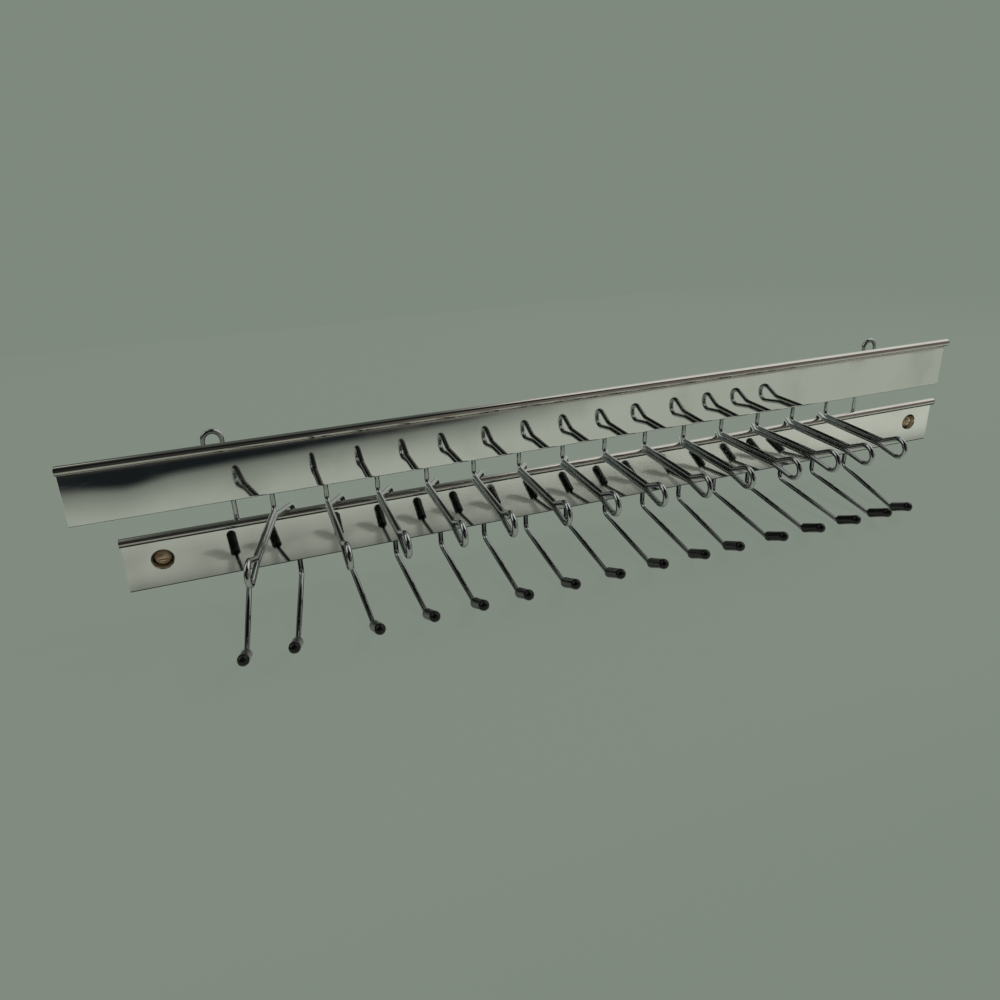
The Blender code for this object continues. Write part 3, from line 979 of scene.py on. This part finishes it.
def weld_spots(name, welds, spots):
    """Small flattened nuggets at given places, as one mesh, each tilted and lumpy in its own way."""
    most_tilt = 0.5
    lump = 0.10
    bm = bmesh.new()
    for k, spot in enumerate(spots):
        shape = Matrix.Diagonal((welds.width, welds.depth, welds.height, 1))
        tilt = Matrix.Rotation(most_tilt * math.sin(2.4 * k), 4, "Y")
        made = bmesh.ops.create_uvsphere(bm, u_segments=20, v_segments=12, radius=1,
                                         matrix=Matrix.Translation(spot) @ tilt @ shape)
        for vert in made["verts"]:
            away = vert.co - spot
            vert.co += away * (lump * math.sin(9000 * away.x + k) * math.cos(7000 * away.z - k))
    fix_order(bm)
    mesh = mesh_from(bm, name)
    smooth(mesh, WELD_ANGLE)
    return new_object(name, mesh)


class TIERACK_OT_welds(bpy.types.Operator):
    """Sets two spot welds between each wire and the back of each rail that it crosses"""

    bl_idname = "tie_rack.welds"
    bl_label = "Welds"

    def execute(self, context):
        settings = context.scene.tie_rack
        welds = settings.welds
        wires = settings.wires
        weld = burnt_weld("weld_metal", settings.chrome)
        upper_wire, lower_wire = wire_planes(wires)
        inset = wires.diameter / 2 + wires.weld_gap / 2
        share_of_run = 0.52
        upper_middle = UPPER_LOW.z + wires.run_up * share_of_run
        upper = [Vector((hook_x(wires, number), upper_wire - inset, upper_middle + step * welds.spread))
                 for number in range(1, HOOK_COUNT + 1) for step in (-1, 1)]
        lower = [Vector((peg_x(wires, number), lower_wire - inset, LOWER_MIDDLE + step * welds.spread))
                 for number in range(1, PEG_COUNT + 1) for step in (-1, 1)]
        for name, spots in (("weld_spots_upper", upper), ("weld_spots_lower", lower)):
            dress(weld_spots(name, welds, spots), weld)
        return {"FINISHED"}


# Stage


def light_path(graph):
    """Which rays come from the camera, and which by way of metal or clear pieces."""
    camera = graph.node("ShaderNodeLightPath", {}, {}, "Is Camera Ray")
    glossy = graph.node("ShaderNodeLightPath", {}, {}, "Is Glossy Ray")
    clear = graph.node("ShaderNodeLightPath", {}, {}, "Is Transmission Ray")
    return camera, graph.math("MAXIMUM", glossy, clear)


def floor_finish(stage):
    """Pale floor: the camera sees the backdrop's colour with a faint shadow, and metal sees it pale, with
    painted shade under the rack and dark beyond a front edge that bends at both ends of the rails."""
    graph = Graph(bpy.data.materials.new("stage_floor"))
    camera, metal = light_path(graph)
    across, ahead, _ = graph.axes(graph.position())
    grain = graph.noise(14, 3)
    near = (across * across + ahead * ahead).ramp(0.75, 0.20) * ahead.ramp(-0.235, -0.15)
    right_bend = across.ramp(-0.025, 0.317) * -0.103
    left_bend = across.ramp(-0.215, -0.25) * 0.012 - across.ramp(-0.235, -0.29) * 0.016
    front_edge = right_bend + left_bend - across * 0.09 - 0.2337
    inside = ahead - front_edge
    front = ahead.ramp(-0.015, -0.065) * inside.ramp(-0.01, 0.01)
    lit = inside.ramp(-0.047, 0.068)
    behind = ahead.ramp(0.03, 0.09)
    tint = graph.mix(grain * 0.12, stage.floor_tint, [value * 0.9 for value in stage.floor_tint])
    paper = graph.node("ShaderNodeBsdfDiffuse", {}, {"Color": tint})
    # The floor as metal sees it: pale, with painted shade below the rack and dark beyond the front edge.
    glow = graph.mix(front * lit + behind, stage.under, stage.floor_glow)
    flat = graph.node("ShaderNodeEmission", {}, {"Color": graph.mix(camera, glow, stage.backdrop)})
    paper_share = front * ahead.ramp(-0.14, -0.08) * (1 - stage.metal_floor)
    even = camera * (1 - near * stage.floor_shadow) + metal * (1 - paper_share)
    both = graph.node("ShaderNodeMixShader", {}, {0: even, 1: paper, 2: flat})
    graph.node("ShaderNodeOutputMaterial", {}, {"Surface": both})
    return graph.owner


def build_floor(stage):
    """A pale floor below the rack, wide enough for what the rails reflect."""
    low = stage.floor_low
    high = stage.floor_high
    bm = bmesh.new()
    corners = [(low[0], low[1]), (high[0], low[1]), (high[0], high[1]), (low[0], high[1])]
    bm.faces.new([bm.verts.new((x, y, stage.floor_height)) for x, y in corners])
    floor = new_object("stage_floor", mesh_from(bm, "stage_floor"))
    floor.data.materials.append(floor_finish(stage))


def build_world(stage):
    """A flat backdrop for the camera; metal sees a dark room with a warm horizon and pale windows as well."""
    world = bpy.data.worlds.new("stage_world")
    bpy.context.scene.world = world
    graph = Graph(world)
    across, ahead, up = graph.axes(graph.node("ShaderNodeTexCoord", {}, {}, "Generated"))
    camera, metal = light_path(graph)
    side = across.ramp(0.05, 0.3) * 0.8 + across.ramp(-0.3, -0.1) * 0.2
    warm = up.ramp(0.62, 0.45) * up.ramp(-0.5, -0.3) * ahead.ramp(0.1, -0.2) * side
    before = ahead.ramp(0.2, -0.5)
    room = graph.mix(before, stage.room_back, stage.room_front)
    shown = graph.mix(metal * (1 - before) * stage.metal_backdrop, room, stage.backdrop)
    shown = graph.mix(warm, shown, stage.horizon)
    pane = [value * stage.window_power for value in stage.window]
    for (x, y, z), start, full, share_of_window in WINDOWS:
        facing = (across * x + ahead * y + up * z).ramp(start, full)
        shown = graph.mix(facing * share_of_window, shown, pane)
    shown = graph.mix(camera, shown, stage.backdrop)
    background = graph.node("ShaderNodeBackground", {}, {"Color": shown, "Strength": 1.0})
    graph.node("ShaderNodeOutputWorld", {}, {"Surface": background})


def build_light(name, spot, side, power, target):
    """A soft square lamp that faces a target; neither the camera nor the metal sees it."""
    lamp = bpy.data.lights.new(name, "AREA")
    lamp.shape = "SQUARE"
    lamp.size = side
    lamp.energy = power
    light = new_object(name, lamp)
    light.location = spot
    light.rotation_euler = (Vector(target) - Vector(spot)).to_track_quat("-Z", "Y").to_euler()
    light.visible_camera = False
    light.visible_glossy = False


def build_camera(stage):
    """A camera that frames the rack as the photograph does."""
    camera = bpy.data.cameras.new("photo_camera")
    camera.sensor_width = 36
    camera.lens = stage.lens
    camera.shift_x = stage.shift_x
    camera.shift_y = stage.shift_y
    camera.clip_start = 0.01
    obj = new_object("photo_camera", camera)
    obj.location = stage.camera_place
    obj.rotation_euler = stage.camera_turn
    bpy.context.scene.camera = obj


class TIERACK_OT_stage(bpy.types.Operator):
    """Sets the floor, the room, the lamps and the camera round the rack"""

    bl_idname = "tie_rack.stage"
    bl_label = "Photo Stage"

    def execute(self, context):
        stage = context.scene.tie_rack.stage
        build_camera(stage)
        build_floor(stage)
        build_world(stage)
        build_light("key_light", stage.key_place, stage.key_size, stage.key_power, stage.key_target)
        build_light("fill_light", stage.fill_place, stage.fill_size, stage.fill_power, stage.fill_target)
        context.scene.view_settings.view_transform = "Standard"
        return {"FINISHED"}


STEPS = (TIERACK_OT_rails, TIERACK_OT_loop_hooks, TIERACK_OT_hangers, TIERACK_OT_peg_caps, TIERACK_OT_screws,
         TIERACK_OT_welds, TIERACK_OT_stage)


class TIERACK_PT_panel(bpy.types.Panel):
    """The rack's pieces and stage, in the order they are made"""

    bl_label = "Tie Rack"
    bl_space_type = "VIEW_3D"
    bl_region_type = "UI"
    bl_category = "Tie Rack"

    def draw(self, context):
        for step in STEPS:
            self.layout.operator(step.bl_idname)
        for group in TieRackSettings.__annotations__:
            box = self.layout.box()
            box.label(text=group.title())
            values = getattr(context.scene.tie_rack, group)
            for name in values.__annotations__:
                box.prop(values, name)


CLASSES = (RailSizes, WireSizes, CapSizes, ScrewSizes, WeldSizes, ChromeFinish, VinylFinish, BrassFinish,
           StageSettings, TieRackSettings, *STEPS, TIERACK_PT_panel)


def register():
    """Makes the settings, the operators and the panel known."""
    for cls in CLASSES:
        bpy.utils.register_class(cls)
    bpy.types.Scene.tie_rack = PointerProperty(type=TieRackSettings)


def unregister():
    """Takes them away again."""
    del bpy.types.Scene.tie_rack
    for cls in reversed(CLASSES):
        bpy.utils.unregister_class(cls)


def main():
    """Builds the whole scene."""
    register()
    for step in STEPS:
        group, name = step.bl_idname.split(".")
        getattr(getattr(bpy.ops, group), name)()


if __name__ == "__main__":
    main()
